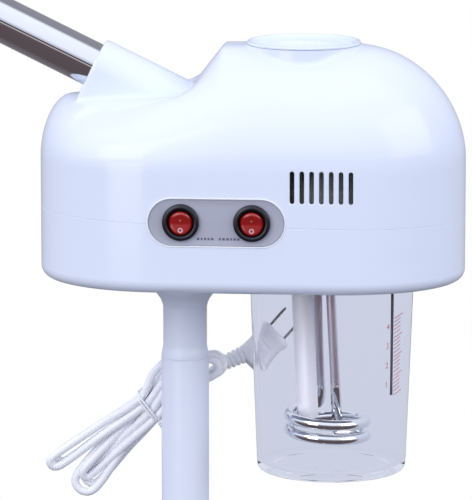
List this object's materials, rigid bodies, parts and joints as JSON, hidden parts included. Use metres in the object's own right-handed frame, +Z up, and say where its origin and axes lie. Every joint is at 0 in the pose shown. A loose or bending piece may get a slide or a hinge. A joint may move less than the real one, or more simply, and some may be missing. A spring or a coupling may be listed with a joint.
{
  "type": "facial steamer",
  "caption": "Floor-standing facial steamer: water jar under a rounded steam head with rocker switches, chrome steam arm with nozzle, telescoping pole on a caster base.",
  "frame": {"origin": "on the pole's axis, at the flat underside of the base's hub", "axes": "+X to the head's right as its switches face you, +Y to the back, +Z up along the pole"},
  "size_m": [0.7286, 0.5058, 1.2529],
  "materials": {
    "white_shell": "glossy moulded plastic, cool white",
    "white_paint": "smooth powder coat, cool white",
    "caster_plastic": "moulded nylon",
    "wheel_tread": "grey non-marking tread",
    "dark_plastic": "fine-grained moulded plastic",
    "steel": "zinc-plated steel",
    "polished_steel": "bright stainless heater tube",
    "chrome_tube": "mirror chrome",
    "clear_glass": "clear borosilicate",
    "panel_grey": "satin printed panel",
    "switch_black": "glossy black nylon",
    "rocker_red": "translucent red lens",
    "natural_plastic": "heat-proof moulding",
    "silicone": "silicone seal",
    "cord_white": "white PVC"
  },
  "bodies": {
    "base": {"star_base": "white_paint", "outer_pole": "white_paint", "hub_screw": "steel", "clamp_collar": "dark_plastic", "collar_bush": "dark_plastic"},
    "caster_1": {"caster_fork_1": "caster_plastic", "caster_axle_1": "steel"},
    "wheel_1": {"caster_wheel_1": "wheel_tread"},
    "caster_2": {"caster_fork_2": "caster_plastic", "caster_axle_2": "steel"},
    "wheel_2": {"caster_wheel_2": "wheel_tread"},
    "caster_3": {"caster_fork_3": "caster_plastic", "caster_axle_3": "steel"},
    "wheel_3": {"caster_wheel_3": "wheel_tread"},
    "caster_4": {"caster_fork_4": "caster_plastic", "caster_axle_4": "steel"},
    "wheel_4": {"caster_wheel_4": "wheel_tread"},
    "caster_5": {"caster_fork_5": "caster_plastic", "caster_axle_5": "steel"},
    "wheel_5": {"caster_wheel_5": "wheel_tread"},
    "knob": {"height_knob": "dark_plastic"},
    "mast": {"inner_pole": "white_paint", "pole_foot": "dark_plastic"},
    "head": {"upper_shell": "white_shell", "lower_shell": "white_shell", "chassis_plate": "steel", "shell_screw_1": "steel", "shell_screw_2": "steel", "shell_screw_3": "steel", "shell_screw_4": "steel", "pole_neck": "white_shell", "jar_gasket": "silicone", "heater_plate": "steel", "heating_element": "polished_steel", "level_tube": "white_shell", "steam_chamber": "natural_plastic", "steam_duct": "natural_plastic", "thermal_cutout": "steel", "ozone_lamp": "clear_glass", "ozone_ballast": "dark_plastic", "terminal_block": "natural_plastic", "control_panel": "panel_grey", "ozone_switch": "switch_black", "power_switch": "switch_black", "cord_gland": "cord_white", "cord_lead": "cord_white", "cord_hank": "cord_white", "cord_tail": "cord_white", "cord_tie": "cord_white", "power_plug": "cord_white"},
    "arm": {"arm_tube": "chrome_tube", "nozzle_elbow": "white_shell"},
    "nozzle": {"nozzle": "white_shell", "nozzle_grille": "dark_plastic"},
    "lid": {"lid": "white_shell"},
    "ozone_rocker": {"ozone_rocker": "rocker_red"},
    "power_rocker": {"power_rocker": "rocker_red"},
    "lock_ring": {"jar_lock_ring": "white_shell"},
    "jar": {"glass_jar": "clear_glass"}
  },
  "joints": [
    {"name": "caster_swivel_1", "type": "hinge", "parent": "base", "child": "caster_1", "pos_m": [0, -0.235, -0.0123], "axis": [0, 0, 1], "continuous": true},
    {"name": "wheel_spin_1", "type": "hinge", "parent": "caster_1", "child": "wheel_1", "pos_m": [0, -0.253, -0.05], "axis": [1, 0, 0], "continuous": true},
    {"name": "caster_swivel_2", "type": "hinge", "parent": "base", "child": "caster_2", "pos_m": [0.2235, -0.07262, -0.0123], "axis": [0, 0, 1], "continuous": true},
    {"name": "wheel_spin_2", "type": "hinge", "parent": "caster_2", "child": "wheel_2", "pos_m": [0.24062, -0.07818, -0.05], "axis": [0.309, 0.9511, 0], "continuous": true},
    {"name": "caster_swivel_3", "type": "hinge", "parent": "base", "child": "caster_3", "pos_m": [0.13813, 0.19012, -0.0123], "axis": [0, 0, 1], "continuous": true},
    {"name": "wheel_spin_3", "type": "hinge", "parent": "caster_3", "child": "wheel_3", "pos_m": [0.14871, 0.20468, -0.05], "axis": [-0.809, 0.5878, 0], "continuous": true},
    {"name": "caster_swivel_4", "type": "hinge", "parent": "base", "child": "caster_4", "pos_m": [-0.13813, 0.19012, -0.0123], "axis": [0, 0, 1], "continuous": true},
    {"name": "wheel_spin_4", "type": "hinge", "parent": "caster_4", "child": "wheel_4", "pos_m": [-0.14871, 0.20468, -0.05], "axis": [-0.809, -0.5878, 0], "continuous": true},
    {"name": "caster_swivel_5", "type": "hinge", "parent": "base", "child": "caster_5", "pos_m": [-0.2235, -0.07262, -0.0123], "axis": [0, 0, 1], "continuous": true},
    {"name": "wheel_spin_5", "type": "hinge", "parent": "caster_5", "child": "wheel_5", "pos_m": [-0.24062, -0.07818, -0.05], "axis": [0.309, -0.9511, 0], "continuous": true},
    {"name": "knob_turn", "type": "hinge", "parent": "base", "child": "knob", "pos_m": [0, 0, 0.405], "axis": [-1, 0, 0], "range_deg": [0, 360]},
    {"name": "height_slide", "type": "slide", "parent": "base", "child": "mast", "axis": [0, 0, 1], "range_m": [-0.12, 0.14]},
    {"name": "head_swivel", "type": "hinge", "parent": "mast", "child": "head", "pos_m": [0, 0, 0.823], "axis": [0, 0, 1], "continuous": true},
    {"name": "arm_turn", "type": "hinge", "parent": "head", "child": "arm", "pos_m": [-0.06, 0, 1.0093], "axis": [-0.8988, 0, 0.4384], "continuous": true},
    {"name": "nozzle_turn", "type": "hinge", "parent": "arm", "child": "nozzle", "pos_m": [-0.4111, 0, 1.12046], "axis": [-0.4384, 0, -0.8988], "continuous": true},
    {"name": "lid_lift", "type": "slide", "parent": "head", "child": "lid", "axis": [0, 0, 1], "range_m": [0, 0.06]},
    {"name": "ozone_rock", "type": "hinge", "parent": "head", "child": "ozone_rocker", "pos_m": [0.004, -0.0651, 0.9202], "axis": [-1, 0, 0], "range_deg": [0, 16]},
    {"name": "power_rock", "type": "hinge", "parent": "head", "child": "power_rocker", "pos_m": [0.0478, -0.0651, 0.9202], "axis": [-1, 0, 0], "range_deg": [0, 16]},
    {"name": "jar_twist", "type": "hinge", "parent": "head", "child": "lock_ring", "pos_m": [0.0926, 0, 0.875], "axis": [0, 0, 1], "range_deg": [0, 45]},
    {"name": "jar_drop", "type": "slide", "parent": "lock_ring", "child": "jar", "axis": [0, 0, -1], "range_m": [0, 0.125]}
  ]
}
